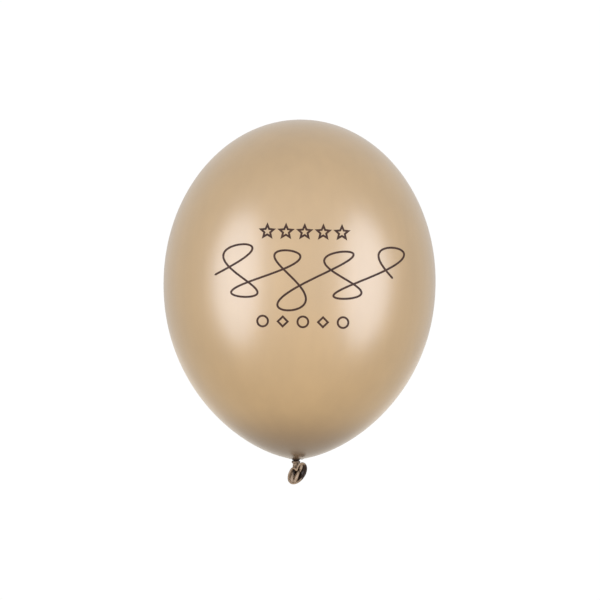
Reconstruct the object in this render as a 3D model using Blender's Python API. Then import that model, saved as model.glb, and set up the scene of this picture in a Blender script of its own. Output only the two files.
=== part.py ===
"""Party balloon of pearl latex, blown up and tied in its own neck, with printed ink on its front.

Metres, +Z up along the balloon's axis. The origin is at the neck, in the crease between the blown
skin and the knot, where a ribbon is tied. The printed front faces -Y.
"""

import math

import bmesh
import bpy
from mathutils import Vector

# Blown skin: half an ellipse over the widest circle, and a pear-shaped curve under it.
BALLOON_DIAMETER = 0.280
CROWN_HEIGHT = 0.1675
BELLY_HEIGHT = 0.1823
BELLY_POWER = 2.088
BELLY_ROUNDING = 0.619
SKIN_WALL = 0.0002
SKIN_SEGMENTS = 48
CROWN_RINGS = 12
BELLY_RINGS = 14
NECK_HOLE_RADIUS = 0.0022

# Gathered throat: a pleated plug in the neck hole, with a round seat under it for the nod.
THROAT_RADIUS = 0.0018
THROAT_TOP = 0.0016
THROAT_BEVEL = 0.0007
THROAT_SEAT_TOP = 0.0002
THROAT_SEAT_RADIUS = 0.0013
THROAT_SEAT_STEPS = 4
PLEATS = 9
PLEAT_DEPTH = 0.07

# Neck strand: the bunched skin from the throat into the knot.
STRAND_RADIUS = 0.0011
STRAND_TOP = -0.0017
STRAND_BOTTOM = -0.0031
STRAND_BEVEL = 0.0003
STRAND_SEGMENTS = 20

# Knot: one turn wrapped round the strand, and the bunch tucked through it from below.
TURN_RADIUS = 0.0031
TURN_THICKNESS = 0.0030
TURN_HEIGHT = -0.0030
TURN_POINTS = 24
TUCK_TOP = -0.0036
TUCK_TOP_RADIUS = 0.0012
TUCK_SHOULDER = -0.0048
TUCK_SHOULDER_RADIUS = 0.0021
TUCK_BOTTOM = -0.0064
TUCK_BOTTOM_RADIUS = 0.0014
TUCK_BEVEL = 0.0003
TUCK_SEGMENTS = 24

# Tail: the neck's own end, a short flared tube that opens to the front in an oval mouth.
TAIL_TOP = (0.0, 0.0, -0.0075)
TAIL_ROOT_RADIUS = 0.0014
TAIL_WALL = 0.0005
TAIL_SECTIONS = 9
TAIL_BACK_SWELL = 0.0052
TAIL_SWELL_SHARE = 0.62
TAIL_SWELL_DROP = 0.0030
MOUTH_CENTRE = (0.00165, -0.0046, -0.0140)
MOUTH_HALF_LENGTH = 0.0122
MOUTH_HALF_WIDTH = 0.0072
MOUTH_LEAN = math.radians(29.5)
MOUTH_FACING = (0.12, -0.96, -0.26)
MOUTH_POINTS = 32
LIP_RADIUS = 0.00105

# Print: raised islands of ink on the front, in three rows, a little right of the middle.
INK_LINE = 0.0020
INK_THICKNESS = 0.0003
PRINT_MIDDLE = 0.0040
WIDEST_HEIGHT = BELLY_HEIGHT
STAR_COUNT = 5
STAR_HEIGHT = WIDEST_HEIGHT + 0.0480
STAR_PITCH = 0.0182
STAR_RADIUS = 0.0090
STAR_WAIST = 0.46
CONFETTI_COUNT = 5
CONFETTI_HEIGHT = WIDEST_HEIGHT - 0.0394
CONFETTI_PITCH = 0.0196
CONFETTI_RADIUS = 0.0062
RING_POINTS = 16
STREAMER_HEIGHT = WIDEST_HEIGHT + 0.0045
STREAMER_LENGTH = 0.176
STREAMER_WAVES = 3.5
STREAMER_SWING = 0.0265
STREAMER_SWELL = 0.0065
STREAMER_CURL = 0.0190
STREAMER_SLANT = 0.45
STREAMER_POINTS = 240
STREAMER_CLEARANCE = 0.0034
STREAMER_NEAR_POINTS = 8
SLOPE_STEP = 0.0001

# The clearance between pieces that touch, and how finely surfaces are cut.
GAP = 0.0003
TUBE_RESOLUTION = 3
SHARP_ANGLE = math.radians(50)
MERGE_DISTANCE = 1e-6
PIVOT_SIZE = 0.01


def clear_scene():
    for obj in list(bpy.data.objects):
        bpy.data.objects.remove(obj, do_unlink=True)


def new_material(name, colour, roughness, metallic):
    material = bpy.data.materials.new(name)
    material.use_nodes = True
    shader = material.node_tree.nodes["Principled BSDF"]
    shader.inputs["Base Color"].default_value = (*colour, 1.0)
    shader.inputs["Roughness"].default_value = roughness
    shader.inputs["Metallic"].default_value = metallic
    return material


def new_pivot(name, location, parent):
    """An empty on a joint's axis. The location is in world space."""
    pivot = bpy.data.objects.new(name, None)
    pivot.empty_display_size = PIVOT_SIZE
    bpy.context.collection.objects.link(pivot)
    pivot.parent = parent
    pivot.location = Vector(location) - (world_place(parent) if parent else Vector())
    return pivot


def world_place(obj):
    place = Vector(obj.location)
    while obj.parent:
        obj = obj.parent
        place += obj.location
    return place


def new_object(name, data, material, parent=None):
    data.materials.append(material)
    obj = bpy.data.objects.new(name, data)
    bpy.context.collection.objects.link(obj)
    obj.parent = parent
    return obj


def mesh_from(name, mesh_maker):
    """A mesh whose vertices and faces mesh_maker adds, with its faces turned outwards."""
    shape = bmesh.new()
    mesh_maker(shape)
    bmesh.ops.recalc_face_normals(shape, faces=shape.faces)
    mesh = bpy.data.meshes.new(name)
    shape.to_mesh(mesh)
    shape.free()
    mesh.shade_smooth()
    mesh.set_sharp_from_angle(angle=SHARP_ANGLE)
    return mesh


def turned(name, profile, segments, pleats=0, pleat_depth=0.0):
    """A mesh turned round Z from (radius, height) points, optionally with lengthwise pleats."""

    def make(shape):
        points = [shape.verts.new((radius, 0.0, height)) for radius, height in profile]
        edges = [shape.edges.new(pair) for pair in zip(points, points[1:])]
        bmesh.ops.spin(
            shape, geom=points + edges, axis=(0, 0, 1), cent=(0, 0, 0),
            angle=2 * math.pi, steps=segments, use_merge=True, use_duplicate=False,
        )
        bmesh.ops.remove_doubles(shape, verts=shape.verts, dist=MERGE_DISTANCE)
        for vert in shape.verts:
            swell = 1 + pleat_depth * math.cos(pleats * math.atan2(vert.co.y, vert.co.x))
            vert.co.x *= swell
            vert.co.y *= swell

    return mesh_from(name, make)


def add_wall(obj, thickness):
    """Gives an open skin its wall, grown inwards."""
    wall = obj.modifiers.new("Wall", "SOLIDIFY")
    wall.thickness = thickness
    wall.offset = -1.0


def skin_radius(height):
    """The blown skin's radius at a height over the neck."""
    rise = height - WIDEST_HEIGHT
    if rise >= 0:
        return BALLOON_DIAMETER / 2 * math.sqrt(max(0.0, 1 - (rise / CROWN_HEIGHT) ** 2))
    depth = min(1.0, -rise / BELLY_HEIGHT)
    return BALLOON_DIAMETER / 2 * (1 - depth**BELLY_POWER) ** BELLY_ROUNDING


def skin_depth(radius):
    """How far down the belly, from 0 at the widest circle to 1 at the neck, a radius lies."""
    share = (2 * radius / BALLOON_DIAMETER) ** (1 / BELLY_ROUNDING)
    return (1 - share) ** (1 / BELLY_POWER)


def make_envelope(material):
    profile = []
    for ring in range(CROWN_RINGS):
        angle = math.pi / 2 * (1 - ring / CROWN_RINGS)
        height = WIDEST_HEIGHT + CROWN_HEIGHT * math.sin(angle)
        profile.append((BALLOON_DIAMETER / 2 * math.cos(angle), height))
    lowest_angle = math.asin(skin_depth(NECK_HOLE_RADIUS))
    for ring in range(BELLY_RINGS + 1):
        height = WIDEST_HEIGHT - BELLY_HEIGHT * math.sin(lowest_angle * ring / BELLY_RINGS)
        profile.append((skin_radius(height), height))
    envelope = new_object("envelope", turned("envelope", profile, SKIN_SEGMENTS), material)
    add_wall(envelope, SKIN_WALL)
    return envelope


def make_throat(material, parent):
    profile = [
        (0.0, THROAT_TOP), (THROAT_RADIUS - THROAT_BEVEL, THROAT_TOP),
        (THROAT_RADIUS, THROAT_TOP - THROAT_BEVEL), (THROAT_RADIUS, THROAT_SEAT_TOP),
    ]
    for step in range(THROAT_SEAT_STEPS + 1):
        angle = math.pi / 2 * step / THROAT_SEAT_STEPS
        profile.append((THROAT_SEAT_RADIUS * math.cos(angle), -THROAT_SEAT_RADIUS * math.sin(angle)))
    mesh = turned("throat", profile, PLEATS * 4, PLEATS, PLEAT_DEPTH)
    return new_object("throat", mesh, material, parent)


def make_neck_strand(material, parent):
    edge = STRAND_RADIUS - STRAND_BEVEL
    profile = [
        (0.0, STRAND_TOP), (edge, STRAND_TOP), (STRAND_RADIUS, STRAND_TOP - STRAND_BEVEL),
        (STRAND_RADIUS, STRAND_BOTTOM + STRAND_BEVEL), (edge, STRAND_BOTTOM), (0.0, STRAND_BOTTOM),
    ]
    return new_object("neck_strand", turned("neck_strand", profile, STRAND_SEGMENTS), material, parent)


def closed_tube(name, points, radius, material, parent):
    """A round bead along a closed loop of points."""
    curve = bpy.data.curves.new(name, "CURVE")
    curve.dimensions = "3D"
    curve.bevel_depth = radius
    curve.bevel_resolution = TUBE_RESOLUTION
    spline = curve.splines.new("POLY")
    spline.points.add(len(points) - 1)
    for spot, point in zip(spline.points, points):
        spot.co = (*point, 1.0)
    spline.use_cyclic_u = True
    spline.use_smooth = True
    return new_object(name, curve, material, parent)


def make_knot_turn(material, parent):
    angles = [2 * math.pi * index / TURN_POINTS for index in range(TURN_POINTS)]
    points = [(TURN_RADIUS * math.cos(a), TURN_RADIUS * math.sin(a), 0.0) for a in angles]
    return closed_tube("knot_turn", points, TURN_THICKNESS / 2, material, parent)


def make_knot_tuck(material, parent):
    top, shoulder, bottom = (h - TURN_HEIGHT for h in (TUCK_TOP, TUCK_SHOULDER, TUCK_BOTTOM))
    profile = [
        (0.0, top),
        (TUCK_TOP_RADIUS - TUCK_BEVEL, top),
        (TUCK_TOP_RADIUS, top - TUCK_BEVEL),
        (TUCK_SHOULDER_RADIUS, shoulder),
        (TUCK_BOTTOM_RADIUS, bottom + TUCK_BEVEL),
        (TUCK_BOTTOM_RADIUS - TUCK_BEVEL, bottom),
        (0.0, bottom),
    ]
    return new_object("knot_tuck", turned("knot_tuck", profile, TUCK_SEGMENTS), material, parent)


def mouth_axes():
    """The mouth oval's long axis, short axis and outward direction."""
    facing = Vector(MOUTH_FACING).normalized()
    upright = Vector((math.sin(MOUTH_LEAN), 0.0, math.cos(MOUTH_LEAN)))
    long_axis = (upright - facing * upright.dot(facing)).normalized()
    return long_axis, facing.cross(long_axis), facing


def mouth_point(angle, set_back=0.0):
    """A point on the mouth's oval, relative to the tail's top. Angle 0 is the oval's upper end."""
    long_axis, short_axis, facing = mouth_axes()
    centre = Vector(MOUTH_CENTRE) - Vector(TAIL_TOP) - facing * set_back
    along = long_axis * MOUTH_HALF_LENGTH * math.cos(angle)
    return centre + along + short_axis * MOUTH_HALF_WIDTH * math.sin(angle)


def make_tail(material, parent):
    """Each line down the tail runs from its root, out behind the mouth, and forward to the rim."""
    set_back = LIP_RADIUS + 2 * GAP
    facing = mouth_axes()[2]
    centre = Vector(MOUTH_CENTRE) - Vector(TAIL_TOP)
    rings = []
    for section in range(TAIL_SECTIONS + 1):
        share = section / TAIL_SECTIONS
        ring = []
        for index in range(MOUTH_POINTS):
            angle = 2 * math.pi * index / MOUTH_POINTS
            rim = mouth_point(angle, set_back)
            root = Vector((-math.sin(angle), -math.cos(angle), 0.0)) * TAIL_ROOT_RADIUS
            swell = centre + (rim - centre) * TAIL_SWELL_SHARE - facing * TAIL_BACK_SWELL
            swell.z -= TAIL_SWELL_DROP
            ring.append(root * (1 - share) ** 2 + swell * 2 * share * (1 - share) + rim * share**2)
        rings.append(ring)

    def make(shape):
        loops = [[shape.verts.new(point) for point in ring] for ring in rings]
        for upper, lower in zip(loops, loops[1:]):
            for index in range(MOUTH_POINTS):
                following = (index + 1) % MOUTH_POINTS
                shape.faces.new((upper[index], upper[following], lower[following], lower[index]))
        shape.faces.new(loops[0])

    tail = new_object("tail", mesh_from("tail", make), material, parent)
    add_wall(tail, TAIL_WALL)
    return tail


def make_rolled_lip(material, parent):
    angles = [2 * math.pi * index / MOUTH_POINTS for index in range(MOUTH_POINTS)]
    return closed_tube("rolled_lip", [mouth_point(a) for a in angles], LIP_RADIUS, material, parent)


def over_skin(across, height, lift):
    """The point lifted off the front skin, where a line straight back at this spot meets it."""
    radius = skin_radius(height)
    slope = (skin_radius(height + SLOPE_STEP) - skin_radius(height - SLOPE_STEP)) / (2 * SLOPE_STEP)
    back = math.sqrt(radius**2 - across**2)
    outward = Vector((across / radius, -back / radius, -slope)).normalized()
    return Vector((across, -back, height)) + outward * lift


def make_ink(name, left, right, closed, material, parent):
    """An island of ink between two borders, each a list of (across, height) spots."""

    def make(shape):
        top = GAP + INK_THICKNESS
        rows = []
        for border, lift in ((left, GAP), (right, GAP), (right, top), (left, top)):
            rows.append([shape.verts.new(over_skin(*spot, lift)) for spot in border])
        count = len(left)
        for index in range(count if closed else count - 1):
            following = (index + 1) % count
            for row, next_row in zip(rows, rows[1:] + rows[:1]):
                shape.faces.new((row[index], row[following], next_row[following], next_row[index]))
        if not closed:
            shape.faces.new([row[0] for row in rows])
            shape.faces.new([row[-1] for row in rows])

    return new_object(name, mesh_from(name, make), material, parent)


def outline(across, height, radii):
    """A closed outline whose corners lie at these radii, evenly spaced round a centre."""
    spots = []
    for index, radius in enumerate(radii):
        angle = 2 * math.pi * index / len(radii)
        spots.append((across + radius * math.sin(angle), height + radius * math.cos(angle)))
    return spots


def make_outline(name, across, height, radii, edge_distance, material, parent):
    """An outlined shape whose straight edges all lie edge_distance from its centre."""
    shrink = (edge_distance - INK_LINE) / edge_distance
    outer = outline(across, height, radii)
    inner = outline(across, height, [radius * shrink for radius in radii])
    return make_ink(name, outer, inner, True, material, parent)


def make_stars(material, parent):
    tip, waist = STAR_RADIUS, STAR_RADIUS * STAR_WAIST
    corner = math.pi / 5
    edge_length = math.sqrt(tip**2 + waist**2 - 2 * tip * waist * math.cos(corner))
    edge_distance = tip * waist * math.sin(corner) / edge_length
    for index in range(STAR_COUNT):
        across = PRINT_MIDDLE + (index - (STAR_COUNT - 1) / 2) * STAR_PITCH
        make_outline(
            f"ink_star_{index + 1}", across, STAR_HEIGHT, [tip, waist] * 5, edge_distance, material, parent
        )


def make_confetti(material, parent):
    """Rings and diamonds by turns."""
    for index in range(CONFETTI_COUNT):
        across = PRINT_MIDDLE + (index - (CONFETTI_COUNT - 1) / 2) * CONFETTI_PITCH
        corners = 4 if index % 2 else RING_POINTS
        edge_distance = CONFETTI_RADIUS * math.cos(math.pi / corners)
        make_outline(
            f"ink_confetti_{index + 1}", across, CONFETTI_HEIGHT, [CONFETTI_RADIUS] * corners,
            edge_distance, material, parent,
        )


def streamer_spot(share):
    """A curling streamer: it swings up and down, and runs backwards over each crest and dip."""
    phase = 2 * math.pi * STREAMER_WAVES * share
    swing = (STREAMER_SWING + STREAMER_SWELL * math.cos(4 * math.pi * share)) * math.sin(phase)
    across = STREAMER_LENGTH * (share - 0.5) + STREAMER_CURL * math.sin(2 * phase)
    return PRINT_MIDDLE + across + STREAMER_SLANT * swing, STREAMER_HEIGHT + swing


def streamer_runs():
    """The streamer cut where it would cross itself, so that each run is one island of ink."""
    spots = [streamer_spot(index / STREAMER_POINTS) for index in range(STREAMER_POINTS + 1)]
    runs, run, laid = [], [], []
    for index, spot in enumerate(spots):
        earlier = laid[: max(0, index - STREAMER_NEAR_POINTS)]
        if all(math.dist(spot, other) > STREAMER_CLEARANCE for other in earlier):
            run.append(spot)
        elif run:
            runs.append(run)
            run = []
        laid.append(spot)
    runs.append(run)
    return [run for run in runs if len(run) > 2]


def make_streamer(material, parent):
    for number, run in enumerate(streamer_runs(), 1):
        left, right = [], []
        for index, (across, height) in enumerate(run):
            before, after = run[max(0, index - 1)], run[min(len(run) - 1, index + 1)]
            run_x, run_z = after[0] - before[0], after[1] - before[1]
            half = INK_LINE / 2 / math.hypot(run_x, run_z)
            left.append((across - run_z * half, height + run_x * half))
            right.append((across + run_z * half, height - run_x * half))
        make_ink(f"ink_streamer_{number}", left, right, False, material, parent)


def main():
    clear_scene()
    blown_latex = new_material("blown_latex", (0.64, 0.46, 0.29), 0.32, 0.35)
    bunched_latex = new_material("bunched_latex", (0.25, 0.16, 0.085), 0.38, 0.30)
    ink = new_material("ink", (0.070, 0.030, 0.012), 0.55, 0.0)

    envelope = make_envelope(blown_latex)
    make_stars(ink, envelope)
    make_streamer(ink, envelope)
    make_confetti(ink, envelope)

    twist = new_pivot("neck_twist_axis", (0, 0, 0), envelope)
    make_throat(bunched_latex, twist)
    nod = new_pivot("neck_nod_axis", (0, 0, 0), twist)
    make_neck_strand(bunched_latex, nod)
    sway = new_pivot("knot_sway_axis", (0, 0, TURN_HEIGHT), nod)
    make_knot_turn(bunched_latex, sway)
    make_knot_tuck(bunched_latex, sway)
    flap = new_pivot("tail_flap_axis", TAIL_TOP, sway)
    make_tail(bunched_latex, flap)
    make_rolled_lip(bunched_latex, flap)


main()
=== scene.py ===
import math

import bpy
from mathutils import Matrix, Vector, noise


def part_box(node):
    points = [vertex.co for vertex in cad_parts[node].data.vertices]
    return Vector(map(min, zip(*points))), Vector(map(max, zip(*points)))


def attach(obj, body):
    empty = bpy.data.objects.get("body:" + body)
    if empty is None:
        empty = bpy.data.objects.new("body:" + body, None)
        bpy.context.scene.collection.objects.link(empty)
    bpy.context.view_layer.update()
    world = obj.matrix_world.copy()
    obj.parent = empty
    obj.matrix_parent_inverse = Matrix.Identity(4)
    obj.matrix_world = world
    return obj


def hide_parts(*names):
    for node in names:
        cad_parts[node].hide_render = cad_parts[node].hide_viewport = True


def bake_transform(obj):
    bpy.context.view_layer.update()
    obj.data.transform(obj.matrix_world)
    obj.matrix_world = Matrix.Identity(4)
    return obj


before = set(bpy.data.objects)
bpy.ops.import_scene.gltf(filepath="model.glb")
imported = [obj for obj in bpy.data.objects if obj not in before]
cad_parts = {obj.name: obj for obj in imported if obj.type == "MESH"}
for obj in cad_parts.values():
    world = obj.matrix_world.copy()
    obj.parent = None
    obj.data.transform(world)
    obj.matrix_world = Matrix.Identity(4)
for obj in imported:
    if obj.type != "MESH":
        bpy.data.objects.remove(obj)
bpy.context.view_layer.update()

# ------------------------------------------------------------------------------------------------
# Blown skin: one dipped bag of natural rubber latex with pearl pigment in it, blown up until it is
# a film. It is palest where it is stretched most, and keeps its own deep gold at the neck and at
# the small dip spot on the crown, where the rubber stays thick.

MM = 0.001
skin_low, skin_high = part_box("envelope")
WIDEST_RADIUS = (skin_high.x - skin_low.x) / 2
WIDEST_HEIGHT = skin_high.z * 0.5212
CROWN_RISE = skin_high.z - WIDEST_HEIGHT
BELLY_POWER = 2.088
BELLY_ROUNDING = 0.619
GATHER_RADIUS = 13 * MM
SKIN_SEGMENTS = 192
CROWN_RINGS = 48
CROWN_OPENING = 0.02
BELLY_RINGS = 60
SKIN_FILM = 0.15 * MM
SHARP_ANGLE = math.radians(60)
UP = Vector((0, 0, 1))


def skin_radius(height):
    """The blown skin's radius at a height over the neck."""
    rise = height - WIDEST_HEIGHT
    if rise >= 0:
        return WIDEST_RADIUS * math.sqrt(max(0.0, 1 - (rise / CROWN_RISE) ** 2))
    depth = min(1.0, -rise / WIDEST_HEIGHT)
    return WIDEST_RADIUS * (1 - depth**BELLY_POWER) ** BELLY_ROUNDING


def belly_height(radius):
    """The height over the neck at which the belly has this radius."""
    share = (radius / WIDEST_RADIUS) ** (1 / BELLY_ROUNDING)
    return WIDEST_HEIGHT * (1 - (1 - share) ** (1 / BELLY_POWER))


def outward(angle):
    """The level direction away from the axis. Angle 0 is the front, and a quarter turn the right."""
    return Vector((math.sin(angle), -math.cos(angle), 0))


def turn_angles(count):
    return [2 * math.pi * index / count for index in range(count)]


def grid_piece(name, rows, closed_rows=True, looped=False, film=0.0):
    """A smooth skin through rows of points. Looped joins the last row to the first. A film's inner
    points follow its outer ones in the mesh."""
    mesh = bpy.data.meshes.new(name)
    width = len(rows[0])
    faces = []
    for upper in range(len(rows) if looped else len(rows) - 1):
        lower = (upper + 1) % len(rows)
        for index in range(width if closed_rows else width - 1):
            following = (index + 1) % width
            a, b = upper * width, lower * width
            faces.append((a + index, b + index, b + following, a + following))
    mesh.from_pydata([point for row in rows for point in row], [], faces)
    mesh.shade_smooth()
    piece = bpy.data.objects.new(name, mesh)
    bpy.context.scene.collection.objects.link(piece)
    if film:
        wall = piece.modifiers.new("Film", "SOLIDIFY")
        wall.thickness = film
        wall.offset = -1.0
        bpy.context.view_layer.update()
        made = piece.evaluated_get(bpy.context.evaluated_depsgraph_get())
        piece.data = bpy.data.meshes.new_from_object(made)
        piece.modifiers.clear()
        piece.data.set_sharp_from_angle(angle=SHARP_ANGLE)
    return piece


def linear(hex_colour):
    """An sRGB hex colour as the linear colour that a shader takes."""
    shares = [int(hex_colour[at:at + 2], 16) / 255 for at in (1, 3, 5)]
    return (*[s / 12.92 if s <= 0.04045 else ((s + 0.055) / 1.055) ** 2.4 for s in shares], 1.0)


def add(tree, kind, values=None, links=None, **settings):
    """Adds a node with its settings, its sockets' values and the links into it."""
    node = tree.nodes.new(kind)
    for name, value in settings.items():
        setattr(node, name, value)
    for socket, value in (values or {}).items():
        node.inputs[socket].default_value = value
    for socket, source in (links or {}).items():
        tree.links.new(source, node.inputs[socket])
    return node


def new_finish(name):
    """A material, its node tree and its main shader."""
    material = bpy.data.materials.new(name)
    material.use_nodes = True
    tree = material.node_tree
    return material, tree, tree.nodes["Principled BSDF"]


crown_rows = []
for step in range(CROWN_RINGS):
    angle = math.pi / 2 * (1 - (step + CROWN_OPENING) / CROWN_RINGS)
    height = WIDEST_HEIGHT + CROWN_RISE * math.sin(angle)
    radius = WIDEST_RADIUS * math.cos(angle)
    crown_rows.append([outward(a) * radius + UP * height for a in turn_angles(SKIN_SEGMENTS)])
belly_rows = []
belly_end = math.asin(1 - belly_height(GATHER_RADIUS) / WIDEST_HEIGHT)
for step in range(BELLY_RINGS + 1):
    height = WIDEST_HEIGHT * (1 - math.sin(belly_end * step / BELLY_RINGS))
    radius = skin_radius(height)
    belly_rows.append([outward(a) * radius + UP * height for a in turn_angles(SKIN_SEGMENTS)])
blown_skin = grid_piece("blown_skin", crown_rows + belly_rows, film=SKIN_FILM)

# Pearl latex, dipped and blown: fine mica under a clear skin of rubber gives a satin gloss with a
# soft white sheen. The former leaves long faint runs down it, and the stretch leaves pale clouds.
# The mica's grain is really 0.1 mm, and is drawn 2.5 mm wide so that it shows.
PALE_GOLD = linear("#8f734b")
DEEP_GOLD = linear("#573c16")
CREASE_SHADE_GOLD = linear("#33251a")
RUN_WIDTH = 11 * MM
RUN_LENGTH = 140 * MM
CLOUD_SIZE = 45 * MM
MICA_SIZE = 2.5 * MM
MICA_RELIEF = 0.2 * MM
THICK_REACH = 66 * MM
CREASE_BOTTOM = -0.2 * MM
CREASE_TOP = 1.6 * MM
DIP_SPOT = 5 * MM
pearl_latex, tree, shader = new_finish("pearl latex, dipped and blown")
place = add(tree, "ShaderNodeTexCoord").outputs["Object"]
split_place = add(tree, "ShaderNodeSeparateXYZ", links={0: place})
height_out = split_place.outputs["Z"]
run_scale = (1 / RUN_WIDTH, 1 / RUN_WIDTH, 1 / RUN_LENGTH)
runs_place = add(tree, "ShaderNodeMapping", {"Scale": run_scale}, {"Vector": place})
runs = add(tree, "ShaderNodeTexNoise", {"Scale": 1.0, "Detail": 3.0}, {"Vector": runs_place.outputs[0]})
clouds = add(tree, "ShaderNodeTexNoise", {"Scale": 1 / CLOUD_SIZE, "Detail": 2.0}, {"Vector": place})
mica = add(tree, "ShaderNodeTexNoise", {"Scale": 1 / MICA_SIZE, "Detail": 2.0}, {"Vector": place})
unevenness = add(
    tree, "ShaderNodeMath", links={0: runs.outputs[0], 1: clouds.outputs[0]}, operation="ADD"
)
streaks = add(
    tree, "ShaderNodeMapRange", {"From Min": 0.7, "From Max": 1.3, "To Min": 0.955, "To Max": 1.035},
    {"Value": unevenness.outputs[0]},
)
near_neck = add(
    tree, "ShaderNodeMapRange", {"From Min": 0.0, "From Max": THICK_REACH, "To Min": 1.0, "To Max": 0.0},
    {"Value": height_out}, interpolation_type="SMOOTHERSTEP",
)
# Painted shade: the skin is darkened in the crease just above the knot.
in_crease = add(
    tree, "ShaderNodeMapRange",
    {"From Min": CREASE_BOTTOM, "From Max": CREASE_TOP, "To Min": 1.0, "To Max": 0.0},
    {"Value": height_out}, interpolation_type="SMOOTHSTEP",
)
from_crown = add(
    tree, "ShaderNodeVectorMath", {1: (0, 0, skin_high.z)}, {0: place}, operation="DISTANCE"
)
dip_spot = add(
    tree, "ShaderNodeMapRange",
    {"From Min": 0.3 * DIP_SPOT, "From Max": 2 * DIP_SPOT, "To Min": 0.45, "To Max": 0.0},
    {"Value": from_crown.outputs["Value"]}, interpolation_type="SMOOTHSTEP",
)
thick_rubber = add(
    tree, "ShaderNodeMath", links={0: near_neck.outputs[0], 1: dip_spot.outputs[0]},
    operation="MAXIMUM",
)
gold = add(
    tree, "ShaderNodeMix", {"A": PALE_GOLD, "B": DEEP_GOLD}, {0: thick_rubber.outputs[0]},
    data_type="RGBA",
)
creased = add(
    tree, "ShaderNodeMix", {"B": CREASE_SHADE_GOLD}, {0: in_crease.outputs[0], "A": gold.outputs["Result"]},
    data_type="RGBA",
)
tinted = add(
    tree, "ShaderNodeVectorMath", links={0: creased.outputs["Result"], 1: streaks.outputs[0]},
    operation="MULTIPLY",
)
relief = add(
    tree, "ShaderNodeBump", {"Strength": 0.04, "Distance": MICA_RELIEF}, {"Height": mica.outputs[0]}
)
gloss = add(
    tree, "ShaderNodeMapRange", {"From Min": 0.3, "From Max": 0.7, "To Min": 0.40, "To Max": 0.46},
    {"Value": mica.outputs[0]},
)
tree.links.new(tinted.outputs[0], shader.inputs["Base Color"])
tree.links.new(gloss.outputs[0], shader.inputs["Roughness"])
tree.links.new(relief.outputs[0], shader.inputs["Normal"])
shader.inputs["Metallic"].default_value = 0.10
shader.inputs["Coat Weight"].default_value = 1.0
shader.inputs["Coat IOR"].default_value = 1.7
shader.inputs["Coat Roughness"].default_value = 0.30
blown_skin.data.materials.append(pearl_latex)
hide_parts("envelope")
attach(blown_skin, "envelope")

# ------------------------------------------------------------------------------------------------
# Gathered throat: the same skin where it narrows from the belly into the neck. The pull of the
# knot draws it into short uneven pleats, and one of them stands out as a pucker on the right.

THROAT_ROWS = 34
THROAT_END_RADIUS = 4.15 * MM
CURL_RADIUS = 6.2 * MM
CURL_DROP = 0.55 * MM
PLEAT_DEPTH = 0.42 * MM
PLEAT_FINENESS = 4.4
PLEAT_SHARPNESS = 2.6
PLEAT_DRIFT = 0.5
PLEAT_RUN = 1.15
PLEAT_SWELL = 1.4
PUCKER_ANGLE = math.radians(78)
PUCKER_RADIUS = 6.6 * MM
PUCKER_SIZE = 1.5 * MM
PUCKER_DROP = 0.75 * MM
PUCKER_RISE = 3


def pleat(angle, row_share):
    """An uneven row of ridges round the neck, from 0 in a crease to 1 on a ridge."""
    spot = outward(angle) * PLEAT_FINENESS
    return 1 - min(1.0, abs(noise.noise(spot + UP * row_share)) * PLEAT_SHARPNESS)


throat_rows = []
for step in range(THROAT_ROWS + 1):
    share = step / THROAT_ROWS
    radius = GATHER_RADIUS * (THROAT_END_RADIUS / GATHER_RADIUS) ** share
    curl = max(0.0, (CURL_RADIUS - radius) / (CURL_RADIUS - THROAT_END_RADIUS))
    growth = math.sin(math.pi * min(1.0, share * PLEAT_RUN) ** PLEAT_SWELL) * PLEAT_DEPTH
    row = []
    for angle in turn_angles(SKIN_SEGMENTS):
        point = outward(angle) * radius + UP * (belly_height(radius) - CURL_DROP * curl**2)
        pucker_at = outward(PUCKER_ANGLE) * PUCKER_RADIUS
        away = (Vector((point.x, point.y, 0)) - pucker_at).length
        pucker = PUCKER_DROP * math.exp(-((away / PUCKER_SIZE) ** 2)) * min(1.0, PUCKER_RISE * share)
        point.z -= growth * (pleat(angle, share * PLEAT_DRIFT) - 0.5) + pucker
        row.append(point)
    throat_rows.append(row)
gathered_throat = grid_piece("gathered_throat", throat_rows, film=SKIN_FILM)
gathered_throat.data.materials.append(pearl_latex)
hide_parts("throat")
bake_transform(gathered_throat)

# ------------------------------------------------------------------------------------------------
# Bunched neck: the neck's skin drawn together into a pleated strand that runs down into the knot.

NECK_TOP = throat_rows[-1][0].z
NECK_BOTTOM = -3.1 * MM
NECK_STRAND_RADIUS = 1.15 * MM
NECK_ROWS = 32
NECK_SEGMENTS = 96
CUSHION_SHARE = 0.65
CUSHION_REACH = THROAT_END_RADIUS - NECK_STRAND_RADIUS
CUSHION_DEPTH = 0.95 * MM
CUSHION_SQUARENESS = 0.4
NECK_PLEATS = 9
NECK_PLEAT_DEPTH = 0.05
neck_rows = []
for step in range(NECK_ROWS + 1):
    share = step / NECK_ROWS
    sweep = math.pi / 2 * min(1.0, share / CUSHION_SHARE)
    along_strand = max(0.0, (share - CUSHION_SHARE) / (1 - CUSHION_SHARE))
    radius = NECK_STRAND_RADIUS + CUSHION_REACH * max(0.0, math.cos(sweep)) ** CUSHION_SQUARENESS
    height = NECK_TOP - CUSHION_DEPTH * math.sin(sweep)
    height += (NECK_BOTTOM - NECK_TOP + CUSHION_DEPTH) * along_strand
    fold = NECK_PLEAT_DEPTH * (math.sin(2 * sweep) + along_strand)
    row = []
    for angle in turn_angles(NECK_SEGMENTS):
        pleated = radius * (1 + fold * math.cos(NECK_PLEATS * angle))
        row.append(outward(angle) * pleated + UP * height)
    neck_rows.append(row)
bunched_neck = grid_piece("bunched_neck", neck_rows, film=SKIN_FILM)
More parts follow.
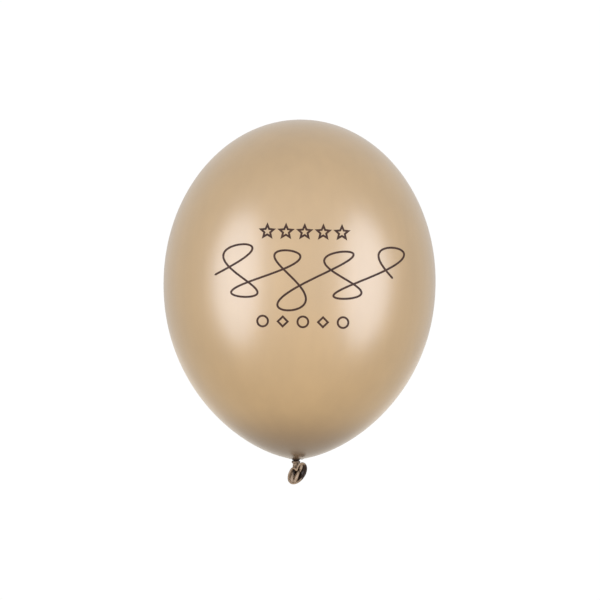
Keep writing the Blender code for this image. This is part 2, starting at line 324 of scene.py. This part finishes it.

# Pearl latex, unstretched: far thicker than the blown skin, so its pigment is a deep brown gold,
# glossier and more metallic. A stored mark named thickness mixes in painted shade, a near black
# brown for the shade in the knot's crease, deep in the mouth and on the bead's upper right.
# Handling leaves fine wrinkles, really 0.5 mm apart and drawn 3.2 mm apart to show.
LIT_BRONZE = linear("#826e5a")
DEEP_BRONZE = linear("#6e5c4a")
PAINTED_SHADE_BROWN = linear("#24160c")
WRINKLE_SIZE = 3.2 * MM
WRINKLE_RELIEF = 0.15 * MM
PATCH_SIZE = 5 * MM
thick_latex, tree, shader = new_finish("pearl latex, thick and bunched")
place = add(tree, "ShaderNodeTexCoord").outputs["Object"]
patches = add(tree, "ShaderNodeTexNoise", {"Scale": 1 / PATCH_SIZE, "Detail": 2.0}, {"Vector": place})
wrinkles = add(tree, "ShaderNodeTexNoise", {"Scale": 1 / WRINKLE_SIZE, "Detail": 1.0}, {"Vector": place})
patch = add(
    tree, "ShaderNodeMapRange", {"From Min": 0.35, "From Max": 0.65}, {"Value": patches.outputs[0]}
)
bronze = add(
    tree, "ShaderNodeMix", {"A": LIT_BRONZE, "B": DEEP_BRONZE}, {0: patch.outputs[0]}, data_type="RGBA"
)
# Painted shade: the mark named thickness stands for shade, not for thicker rubber.
thickness = add(tree, "ShaderNodeAttribute", attribute_name="thickness")
tint = add(
    tree, "ShaderNodeMix", {"B": PAINTED_SHADE_BROWN},
    {0: thickness.outputs["Fac"], "A": bronze.outputs["Result"]}, data_type="RGBA",
)
relief = add(
    tree, "ShaderNodeBump", {"Strength": 0.2, "Distance": WRINKLE_RELIEF},
    {"Height": wrinkles.outputs[0]},
)
gloss = add(
    tree, "ShaderNodeMapRange", {"From Min": 0.3, "From Max": 0.7, "To Min": 0.30, "To Max": 0.42},
    {"Value": wrinkles.outputs[0]},
)
tree.links.new(tint.outputs["Result"], shader.inputs["Base Color"])
tree.links.new(gloss.outputs[0], shader.inputs["Roughness"])
tree.links.new(relief.outputs[0], shader.inputs["Normal"])
shader.inputs["Metallic"].default_value = 0.35
shader.inputs["Specular IOR Level"].default_value = 0.3
shader.inputs["Coat Weight"].default_value = 0.10
shader.inputs["Coat Roughness"].default_value = 0.25


def paint_shade(piece, toward, start, end, first=0):
    """Paints shade on the piece from the first point on, none before start and full after end, both
    measured along a direction, and gives the piece its finish."""
    marks = piece.data.attributes.get("thickness")
    if not marks:
        marks = piece.data.attributes.new("thickness", "FLOAT", "POINT")
        piece.data.materials.append(thick_latex)
    for index in range(first, len(piece.data.vertices)):
        reach = (piece.data.vertices[index].co.dot(toward) - start) / (end - start)
        share = min(1.0, max(0.0, reach))
        marks.data[index].value = share * share * (3 - 2 * share)


# Painted shade down the knot: darkest in the crease under the skin, and fading out lower down.
KNOT_SHADE_START = -4.4 * MM
KNOT_SHADE_FULL = -0.8 * MM
paint_shade(bunched_neck, UP, KNOT_SHADE_START, KNOT_SHADE_FULL)
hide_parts("neck_strand")
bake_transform(bunched_neck)

# ------------------------------------------------------------------------------------------------
# Knot: an overhand knot in the neck itself. One turn of the bunched skin wraps the strand, higher
# at the front, and a smaller turn under it is where the neck's end was tucked through.

TURN_POINTS = 112
TURN_SIDES = 56
TURN_FOLDS = 6
TURN_FOLD_DEPTH = 0.045
TURN_LUMP_DEPTH = 0.04
TURN_LUMP_FINENESS = 1.7
TURN_LUMP_REACH = 1.3
STEADY_SHARE = 0.6
FRONT_FULLNESS = 0.12


def knot_turn(name, node, loop_radius, height, slant, half_height, half_depth, lay):
    """A turn of bunched skin. Its wrinkles run along it and wind round it lay times."""
    rows = []
    for turn in turn_angles(TURN_POINTS):
        toward_front = math.cos(turn)
        middle = outward(turn) * loop_radius + UP * (height + slant * toward_front)
        strength = STEADY_SHARE + (1 - STEADY_SHARE) * math.sin(2 * turn + 1)
        row = []
        for around in turn_angles(TURN_SIDES):
            spot = outward(turn) * TURN_LUMP_REACH + UP * around
            folds = TURN_FOLD_DEPTH * math.cos(TURN_FOLDS * around + lay * turn)
            folds += TURN_LUMP_DEPTH * noise.noise(spot * TURN_LUMP_FINENESS)
            grow = 1 + folds * strength
            rise = half_height * (1 + FRONT_FULLNESS * toward_front) * math.sin(around) * grow
            row.append(middle + outward(turn) * half_depth * math.cos(around) * grow + UP * rise)
        rows.append(row)
    piece = grid_piece(name, rows, looped=True)
    # Painted shade down the turn, darkest up by the skin.
    paint_shade(piece, UP, KNOT_SHADE_START, KNOT_SHADE_FULL)
    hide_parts(node)
    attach(piece, "knot")


turn_low, turn_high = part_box("knot_turn")
knot_turn(
    "wrapped_turn", "knot_turn", loop_radius=turn_high.x - 1.5 * MM,
    height=(turn_low.z + turn_high.z) / 2, slant=0.35 * MM,
    half_height=1.52 * MM, half_depth=1.42 * MM, lay=3,
)
knot_turn(
    "tucked_turn", "knot_tuck", loop_radius=1.3 * MM, height=-5.3 * MM, slant=-0.1 * MM,
    half_height=0.9 * MM, half_depth=1.0 * MM, lay=4,
)

# ------------------------------------------------------------------------------------------------
# Tail: the neck's own end under the knot, a short flared tube. It is squashed open to the front,
# so that its front wall hangs into the mouth as a small cone and its back wall stands up in a fold.

TAIL_SEGMENTS = 168
TAIL_ROWS = 44
TAIL_FILM = 0.4 * MM
TAIL_TOP_RADIUS = 2.9 * MM
TAIL_TOP_HEIGHT = -4.5 * MM
TAIL_HANG_RADIUS = 3.0 * MM
TAIL_HANG_HEIGHT = -7.6 * MM
TAIL_PLEATS = 7
TAIL_PLEAT_DEPTH = 0.10
TAIL_PLEAT_TURN = 0.6
TAIL_PLEAT_FADE = 0.6
FRONT = Vector((0, -1, 0))
MOUTH_CENTRE = Vector((1.65, -4.6, -14.0)) * MM
MOUTH_HALF_LENGTH = 12.2 * MM
MOUTH_HALF_WIDTH = 7.5 * MM
MOUTH_LEAN = math.radians(29.5)
MOUTH_FACING = Vector((0.12, -0.96, -0.26)).normalized()
BACK_SWELL = 5.2 * MM
SWELL_SHARE = 0.62
SWELL_DROP = 3.0 * MM
LIP_RADIUS = 1.05 * MM
CONE_ANGLE = math.radians(62)
CONE_DEPTH = 0.62
CONE_SPREAD_UP = math.radians(28)
CONE_SPREAD_DOWN = math.radians(11)
CONE_BULGE = 0.8 * MM
FOLD_HEIGHT = 4.2 * MM
FOLD_RISE = 0.7
FOLD_OFFSET = -1.45 * MM
FOLD_SLANT = 0.16
FOLD_HALF_WIDTH = 1.8 * MM
FOLD_HALF_LENGTH = 9.5 * MM
upright = Vector((math.sin(MOUTH_LEAN), 0, math.cos(MOUTH_LEAN)))
MOUTH_LONG = (upright - MOUTH_FACING * upright.dot(MOUTH_FACING)).normalized()
MOUTH_SHORT = MOUTH_FACING.cross(MOUTH_LONG)


def cone_share(angle):
    """How much of the rim's line belongs to the hanging front wall, from 0 to 1."""
    away = (angle - CONE_ANGLE + math.pi) % (2 * math.pi) - math.pi
    spread = CONE_SPREAD_DOWN if away > 0 else CONE_SPREAD_UP
    return math.exp(-((away / spread) ** 2))


def mouth_point(angle):
    """A point on the rim. Angle 0 is the mouth's upper end, and a quarter turn its left side."""
    size = 1 - CONE_DEPTH * cone_share(angle)
    along = MOUTH_LONG * MOUTH_HALF_LENGTH * math.cos(angle)
    return MOUTH_CENTRE + (along + MOUTH_SHORT * MOUTH_HALF_WIDTH * math.sin(angle)) * size


def tail_point(angle, share):
    """A point on the line that runs from the knot, out behind the mouth, and forward to the rim."""
    way = Vector((-math.sin(angle), -math.cos(angle), 0))
    pleated = 1 + TAIL_PLEAT_DEPTH * math.cos(TAIL_PLEATS * angle + TAIL_PLEAT_TURN)
    top = way * TAIL_TOP_RADIUS * pleated + UP * TAIL_TOP_HEIGHT
    hang = way * TAIL_HANG_RADIUS * pleated + UP * TAIL_HANG_HEIGHT
    rim = mouth_point(angle)
    reach = SWELL_SHARE * pleated**TAIL_PLEAT_FADE
    cup = MOUTH_CENTRE + (rim - MOUTH_CENTRE) * reach - MOUTH_FACING * BACK_SWELL
    cup.z -= SWELL_DROP
    swell = cup.lerp((hang + rim) / 2 + FRONT * CONE_BULGE, cone_share(angle))
    rest = 1 - share
    point = top * rest**3 + hang * 3 * rest**2 * share + swell * 3 * rest * share**2 + rim * share**3
    across = (point - MOUTH_CENTRE).dot(MOUTH_SHORT)
    along = (point - MOUTH_CENTRE).dot(MOUTH_LONG)
    off_fold = across - FOLD_OFFSET - FOLD_SLANT * along
    ridge = math.exp(-((off_fold / FOLD_HALF_WIDTH) ** 4) - (along / FOLD_HALF_LENGTH) ** 4)
    free = max(0.0, 4 * share * rest) ** FOLD_RISE
    return point + MOUTH_FACING * FOLD_HEIGHT * ridge * free


tail_rows = []
for step in range(TAIL_ROWS + 1):
    tail_rows.append([tail_point(-a, step / TAIL_ROWS) for a in turn_angles(TAIL_SEGMENTS)])
flared_tail = grid_piece("flared_tail", tail_rows, film=TAIL_FILM)
# Painted shade on the tail's outside, darkest up by the knot.
paint_shade(flared_tail, UP, KNOT_SHADE_START, KNOT_SHADE_FULL)

# Painted shade inside the mouth: the lining is darker the deeper it lies in the mouth, and on the
# right.
LINING_SHADE_WAY = (0.25 * MOUTH_LONG - 0.8 * MOUTH_SHORT - MOUTH_FACING).normalized()
LINING_SHADE_START = MOUTH_CENTRE.dot(LINING_SHADE_WAY) + 1.7 * MM
LINING_SHADE_FULL = LINING_SHADE_START + 1.2 * MM
outer_points = (TAIL_ROWS + 1) * TAIL_SEGMENTS
paint_shade(flared_tail, LINING_SHADE_WAY, LINING_SHADE_START, LINING_SHADE_FULL, first=outer_points)
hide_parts("tail")
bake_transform(flared_tail)

# ------------------------------------------------------------------------------------------------
# Rolled lip: the bead that was rolled from the neck's edge while the latex was still wet. The end
# of the roll shows as a fine groove along its inner side. Painted shade darkens the bead on the
# upper right.

LIP_POINTS = 240
LIP_SIDES = 28
LIP_UNEVENNESS = 0.07
LIP_LUMP_LENGTH = 4 * MM
ROLL_GROOVE = 0.16
ROLL_GROOVE_PLACE = math.radians(55)
ROLL_GROOVE_HALF_WIDTH = math.radians(15)
lip_rows = []
for angle in turn_angles(LIP_POINTS):
    middle = mouth_point(angle)
    step = 2 * math.pi / LIP_POINTS
    along = (mouth_point(angle + step) - mouth_point(angle - step)).normalized()
    inward = along.cross(MOUTH_FACING).normalized()
    if inward.dot(MOUTH_CENTRE - middle) < 0:
        inward = -inward
    lump = noise.noise(middle / LIP_LUMP_LENGTH) - 1
    radius = LIP_RADIUS * (1 + LIP_UNEVENNESS * lump)
    row = []
    for around in turn_angles(LIP_SIDES):
        groove = ROLL_GROOVE * math.exp(-(((around - ROLL_GROOVE_PLACE) / ROLL_GROOVE_HALF_WIDTH) ** 2))
        way = MOUTH_FACING * math.cos(around) + inward * math.sin(around)
        row.append(middle + way * radius * (1 - groove))
    lip_rows.append(row)
rolled_bead = grid_piece("rolled_bead", lip_rows, looped=True)
UPPER_RIGHT = (0.35 * MOUTH_LONG - MOUTH_SHORT).normalized()
BEAD_SHADE_START = MOUTH_CENTRE.dot(UPPER_RIGHT) + 4.2 * MM
BEAD_SHADE_FULL = BEAD_SHADE_START + 2.3 * MM
paint_shade(rolled_bead, UPPER_RIGHT, BEAD_SHADE_START, BEAD_SHADE_FULL)
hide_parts("rolled_lip")
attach(rolled_bead, "tail")

# ------------------------------------------------------------------------------------------------
# Print: one colour of dark brown ink, screen-printed on the blown front in three rows: stars, a
# curling streamer, and a row of rings and diamonds. Each stroke is a thin film on the rubber.

INK_LINE = 2.0 * MM
INK_LIFT = 0.03 * MM
INK_FILM = 0.03 * MM
INK_SHARP_ANGLE = math.radians(40)
SLOPE_STEP = 0.1 * MM
PRINT_MIDDLE = 4.0 * MM
STAR_COUNT = 5
STAR_POINTS = 5
STAR_SIDE_PARTS = 6
STAR_HEIGHT = WIDEST_HEIGHT + 48 * MM
STAR_PITCH = 18.2 * MM
STAR_RADIUS = 9.0 * MM
STAR_WAIST = 0.46
CONFETTI_COUNT = 5
CONFETTI_HEIGHT = WIDEST_HEIGHT - 39.4 * MM
CONFETTI_PITCH = 19.6 * MM
CONFETTI_RADIUS = 6.2 * MM
RING_POINTS = 48
DIAMOND_POINTS = 4
STREAMER_HEIGHT = WIDEST_HEIGHT + 4.5 * MM
STREAMER_LENGTH = 176 * MM
STREAMER_WAVES = 3.5
STREAMER_SWING = 26.5 * MM
STREAMER_SWELL = 6.5 * MM
STREAMER_CURL = 19.0 * MM
STREAMER_SLANT = 0.45
STREAMER_POINTS = 900
STREAMER_RUNS = 7
STREAMER_TIP = 0.02 * MM

# Screen-printed ink: a dull opaque film, with the faint unevenness that a mesh screen leaves.
INK_BROWN = linear("#2b1810")
INK_THIN = linear("#3b2519")
SCREEN_PITCH = 0.6 * MM
SCREEN_RELIEF = 0.03 * MM
COVERAGE_SIZE = 6 * MM
printed_ink, tree, shader = new_finish("screen-printed ink")
place = add(tree, "ShaderNodeTexCoord").outputs["Object"]
coverage = add(tree, "ShaderNodeTexNoise", {"Scale": 1 / COVERAGE_SIZE, "Detail": 3.0}, {"Vector": place})
screen = add(tree, "ShaderNodeTexNoise", {"Scale": 1 / SCREEN_PITCH, "Detail": 1.0}, {"Vector": place})
thin = add(
    tree, "ShaderNodeMapRange", {"From Min": 0.4, "From Max": 0.75}, {"Value": coverage.outputs[0]}
)
tint = add(
    tree, "ShaderNodeMix", {"A": INK_BROWN, "B": INK_THIN}, {0: thin.outputs[0]}, data_type="RGBA"
)
relief = add(
    tree, "ShaderNodeBump", {"Strength": 0.2, "Distance": SCREEN_RELIEF}, {"Height": screen.outputs[0]}
)
tree.links.new(tint.outputs["Result"], shader.inputs["Base Color"])
tree.links.new(relief.outputs[0], shader.inputs["Normal"])
shader.inputs["Roughness"].default_value = 0.55
shader.inputs["Specular IOR Level"].default_value = 0.2


def over_skin(across, height, lift):
    """The point lifted off the front skin, where a line straight back at this spot meets it."""
    radius = skin_radius(height)
    rise = skin_radius(height + SLOPE_STEP) - skin_radius(height - SLOPE_STEP)
    slope = rise / (2 * SLOPE_STEP)
    back = math.sqrt(radius**2 - across**2)
    normal = Vector((across / radius, -back / radius, -slope)).normalized()
    return Vector((across, -back, height)) + normal * lift


def ink_film(name, borders, lifts, closed, *nodes):
    """A film of ink between two borders, each a list of (across, height) spots."""
    left, right = borders
    rows = []
    for index, lift in enumerate(lifts):
        top = lift + INK_FILM
        spots = ((left[index], lift), (left[index], top), (right[index], top), (right[index], lift))
        rows.append([over_skin(*spot, up) for spot, up in spots])
    film = grid_piece(name, rows, looped=closed)
    film.data.set_sharp_from_angle(angle=INK_SHARP_ANGLE)
    film.data.materials.append(printed_ink)
    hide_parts(*nodes)
    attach(film, "envelope")


def outline(across, height, radii, parts):
    """A closed outline with corners at these radii round a centre, each side cut into parts."""
    corners = []
    for index, radius in enumerate(radii):
        angle = 2 * math.pi * index / len(radii)
        corners.append((across + radius * math.sin(angle), height + radius * math.cos(angle)))
    spots = []
    for (x, z), (next_x, next_z) in zip(corners, corners[1:] + corners[:1]):
        spots += [(x + (next_x - x) * p / parts, z + (next_z - z) * p / parts) for p in range(parts)]
    return spots


def outlined_shape(name, across, height, radii, edge_distance, parts):
    """An outlined shape whose straight sides all lie edge_distance from its centre."""
    shrink = (edge_distance - INK_LINE) / edge_distance
    outer = outline(across, height, radii, parts)
    inner = outline(across, height, [radius * shrink for radius in radii], parts)
    ink_film("printed_" + name, (outer, inner), [INK_LIFT] * len(outer), True, "ink_" + name)


tip, waist = STAR_RADIUS, STAR_RADIUS * STAR_WAIST
corner = math.pi / STAR_POINTS
side = math.sqrt(tip**2 + waist**2 - 2 * tip * waist * math.cos(corner))
distance = tip * waist * math.sin(corner) / side
for index in range(STAR_COUNT):
    across = PRINT_MIDDLE + (index - (STAR_COUNT - 1) / 2) * STAR_PITCH
    radii = [tip, waist] * STAR_POINTS
    outlined_shape(f"star_{index + 1}", across, STAR_HEIGHT, radii, distance, STAR_SIDE_PARTS)
for index in range(CONFETTI_COUNT):
    across = PRINT_MIDDLE + (index - (CONFETTI_COUNT - 1) / 2) * CONFETTI_PITCH
    corners = DIAMOND_POINTS if index % 2 else RING_POINTS
    distance = CONFETTI_RADIUS * math.cos(math.pi / corners)
    radii = [CONFETTI_RADIUS] * corners
    parts = RING_POINTS // corners
    outlined_shape(f"confetti_{index + 1}", across, CONFETTI_HEIGHT, radii, distance, parts)


def streamer_spot(share):
    """A curling streamer: it swings up and down, and runs backwards over each crest and dip."""
    phase = 2 * math.pi * STREAMER_WAVES * share
    swing = (STREAMER_SWING + STREAMER_SWELL * math.cos(4 * math.pi * share)) * math.sin(phase)
    across = STREAMER_LENGTH * (share - 0.5) + STREAMER_CURL * math.sin(2 * phase)
    return PRINT_MIDDLE + across + STREAMER_SLANT * swing, STREAMER_HEIGHT + swing


streamer_borders = ([], [])
streamer_lifts = []
spots = [streamer_spot(index / STREAMER_POINTS) for index in range(STREAMER_POINTS + 1)]
lengths = [0.0]
for spot, following in zip(spots, spots[1:]):
    lengths.append(lengths[-1] + math.dist(spot, following))
for index, (across, height) in enumerate(spots):
    before, after = spots[max(0, index - 1)], spots[min(STREAMER_POINTS, index + 1)]
    run = Vector((after[0] - before[0], after[1] - before[1])).normalized()
    from_end = min(lengths[index], lengths[-1] - lengths[index], INK_LINE / 2)
    rounded = max(0.0, (INK_LINE / 2) ** 2 - (INK_LINE / 2 - from_end) ** 2)
    half = math.sqrt(rounded) + STREAMER_TIP
    streamer_borders[0].append((across - run.y * half, height + run.x * half))
    streamer_borders[1].append((across + run.y * half, height - run.x * half))
    streamer_lifts.append(INK_LIFT * (1 + 2 * index / STREAMER_POINTS))
streamer_nodes = [f"ink_streamer_{number}" for number in range(1, STREAMER_RUNS + 1)]
ink_film("printed_streamer", streamer_borders, streamer_lifts, False, *streamer_nodes)

# ------------------------------------------------------------------------------------------------
# The room: a pale floor far under the floating balloon, a white surround, an even room light that
# is warmer from below, two tall soft boxes, and a low warm bounce from behind.

EYE_DISTANCE = 2.4
FRAME_SIDE = 0.6184
LEAN = math.radians(-1.15)
EYE_RIGHT = 0.8 * MM
EYE_HEIGHT = WIDEST_HEIGHT - 18.2 * MM

camera_data = bpy.data.cameras.new("camera")
camera_data.sensor_width = 36.0
camera_data.lens = camera_data.sensor_width * EYE_DISTANCE / FRAME_SIDE
camera = bpy.data.objects.new("camera", camera_data)
camera.rotation_mode = "XYZ"
camera.location = (EYE_RIGHT, -EYE_DISTANCE, EYE_HEIGHT)
camera.rotation_euler = (math.radians(90), LEAN, 0)
bpy.context.scene.collection.objects.link(camera)
bpy.context.scene.camera = camera
bpy.context.scene.view_settings.view_transform = "Standard"

FLOOR_HEIGHT = -2.6
ROOM_RADIUS = 9.0
ROOM_SEGMENTS = 64
FLOOR_OPENING = 0.01
DOME_RINGS = 25
DOME_STEP = math.radians(7)
DOME_OPENING = 1e-3


def stage_mesh(name, rings, material):
    """A turned piece of the room, from (radius, height) pairs."""
    angles = turn_angles(ROOM_SEGMENTS)
    rows = [[outward(a) * radius + UP * height for a in angles] for radius, height in rings]
    piece = grid_piece(name, rows)
    piece.data.materials.append(material)
    return piece


floor_paint, tree, shader = new_finish("matt white floor paint")
shader.inputs["Base Color"].default_value = linear("#f2f0ed")
shader.inputs["Roughness"].default_value = 0.9
shader.inputs["Emission Color"].default_value = (1, 1, 1, 1)
shader.inputs["Emission Strength"].default_value = 0.45
floor_rings = [(ROOM_RADIUS, FLOOR_HEIGHT), (FLOOR_OPENING, FLOOR_HEIGHT)]
floor = stage_mesh("floor", floor_rings, floor_paint)
floor.visible_diffuse = False
floor.visible_glossy = False

surround_light = bpy.data.materials.new("white surround, lit evenly")
surround_light.use_nodes = True
tree = surround_light.node_tree
tree.nodes.remove(tree.nodes["Principled BSDF"])
glow = add(tree, "ShaderNodeEmission", {"Color": (1, 1, 1, 1), "Strength": 1.02})
tree.links.new(glow.outputs[0], tree.nodes["Material Output"].inputs["Surface"])
dome = []
for step in range(DOME_RINGS):
    angle = math.pi / 2 - DOME_STEP * step
    dome.append((ROOM_RADIUS * max(DOME_OPENING, math.cos(angle)), ROOM_RADIUS * math.sin(angle)))
surround = stage_mesh("surround", dome, surround_light)
surround.visible_diffuse = False
surround.visible_glossy = False
surround.visible_shadow = False

FLOOR_LEVEL = 0.88
SIDE_LEVEL = 0.76
CEILING_LEVEL = 0.98
FRONT_LEVEL = 0.90
WARM_FLOOR = (1.0, 0.885, 0.72, 1.0)
world = bpy.data.worlds.new("soft room light")
world.use_nodes = True
bpy.context.scene.world = world
tree = world.node_tree
direction = add(tree, "ShaderNodeTexCoord").outputs["Generated"]
way = add(tree, "ShaderNodeSeparateXYZ", links={0: direction})
low = add(
    tree, "ShaderNodeMapRange",
    {"From Min": -1.0, "From Max": 0.0, "To Min": FLOOR_LEVEL, "To Max": SIDE_LEVEL},
    {"Value": way.outputs["Z"]},
)
high = add(
    tree, "ShaderNodeMapRange", {"From Min": 0.0, "From Max": 1.0, "To Max": CEILING_LEVEL - SIDE_LEVEL},
    {"Value": way.outputs["Z"]},
)
front = add(
    tree, "ShaderNodeMapRange", {"From Min": 0.0, "From Max": -1.0, "To Max": FRONT_LEVEL},
    {"Value": way.outputs["Y"]},
)
sides = add(tree, "ShaderNodeMath", links={0: low.outputs[0], 1: high.outputs[0]}, operation="ADD")
level = add(tree, "ShaderNodeMath", links={0: sides.outputs[0], 1: front.outputs[0]}, operation="ADD")
over_floor = add(
    tree, "ShaderNodeMapRange", {"From Min": -1.0, "From Max": 0.0}, {"Value": way.outputs["Z"]}
)
tone = add(
    tree, "ShaderNodeMix", {"A": WARM_FLOOR, "B": (1, 1, 1, 1)}, {0: over_floor.outputs[0]},
    data_type="RGBA",
)
tree.links.new(tone.outputs["Result"], tree.nodes["Background"].inputs["Color"])
tree.links.new(level.outputs[0], tree.nodes["Background"].inputs["Strength"])


BOX_DISTANCE = 1.8
BOX_RISE = 0.06
BOX_SIZE = (1.4, 2.5)
BOX_WATTS = 32.5
COOL_WHITE = (0.77, 0.855, 1.0)
BOUNCE_SIZE = (2.6, 1.2)
BOUNCE_WATTS = 2.5
MIDDLE = UP * WIDEST_HEIGHT
LOW_BEHIND = MIDDLE - FRONT * 2.0 - UP * 0.7


def soft_box(name, place, size, watts, colour):
    """An oval soft light, aimed at the balloon's middle."""
    light = bpy.data.lights.new(name, "AREA")
    light.color = colour
    light.shape = "ELLIPSE"
    light.size, light.size_y = size
    light.energy = watts
    lamp = bpy.data.objects.new(name, light)
    lamp.location = place
    lamp.rotation_euler = (MIDDLE - place).to_track_quat("-Z", "Y").to_euler()
    bpy.context.scene.collection.objects.link(lamp)


for name, turn in (("left_soft_box", -53), ("right_soft_box", 56)):
    spot = MIDDLE + outward(math.radians(turn)) * BOX_DISTANCE + UP * BOX_RISE
    soft_box(name, spot, BOX_SIZE, BOX_WATTS, COOL_WHITE)
soft_box("back_bounce", LOW_BEHIND, BOUNCE_SIZE, BOUNCE_WATTS, WARM_FLOOR[:3])
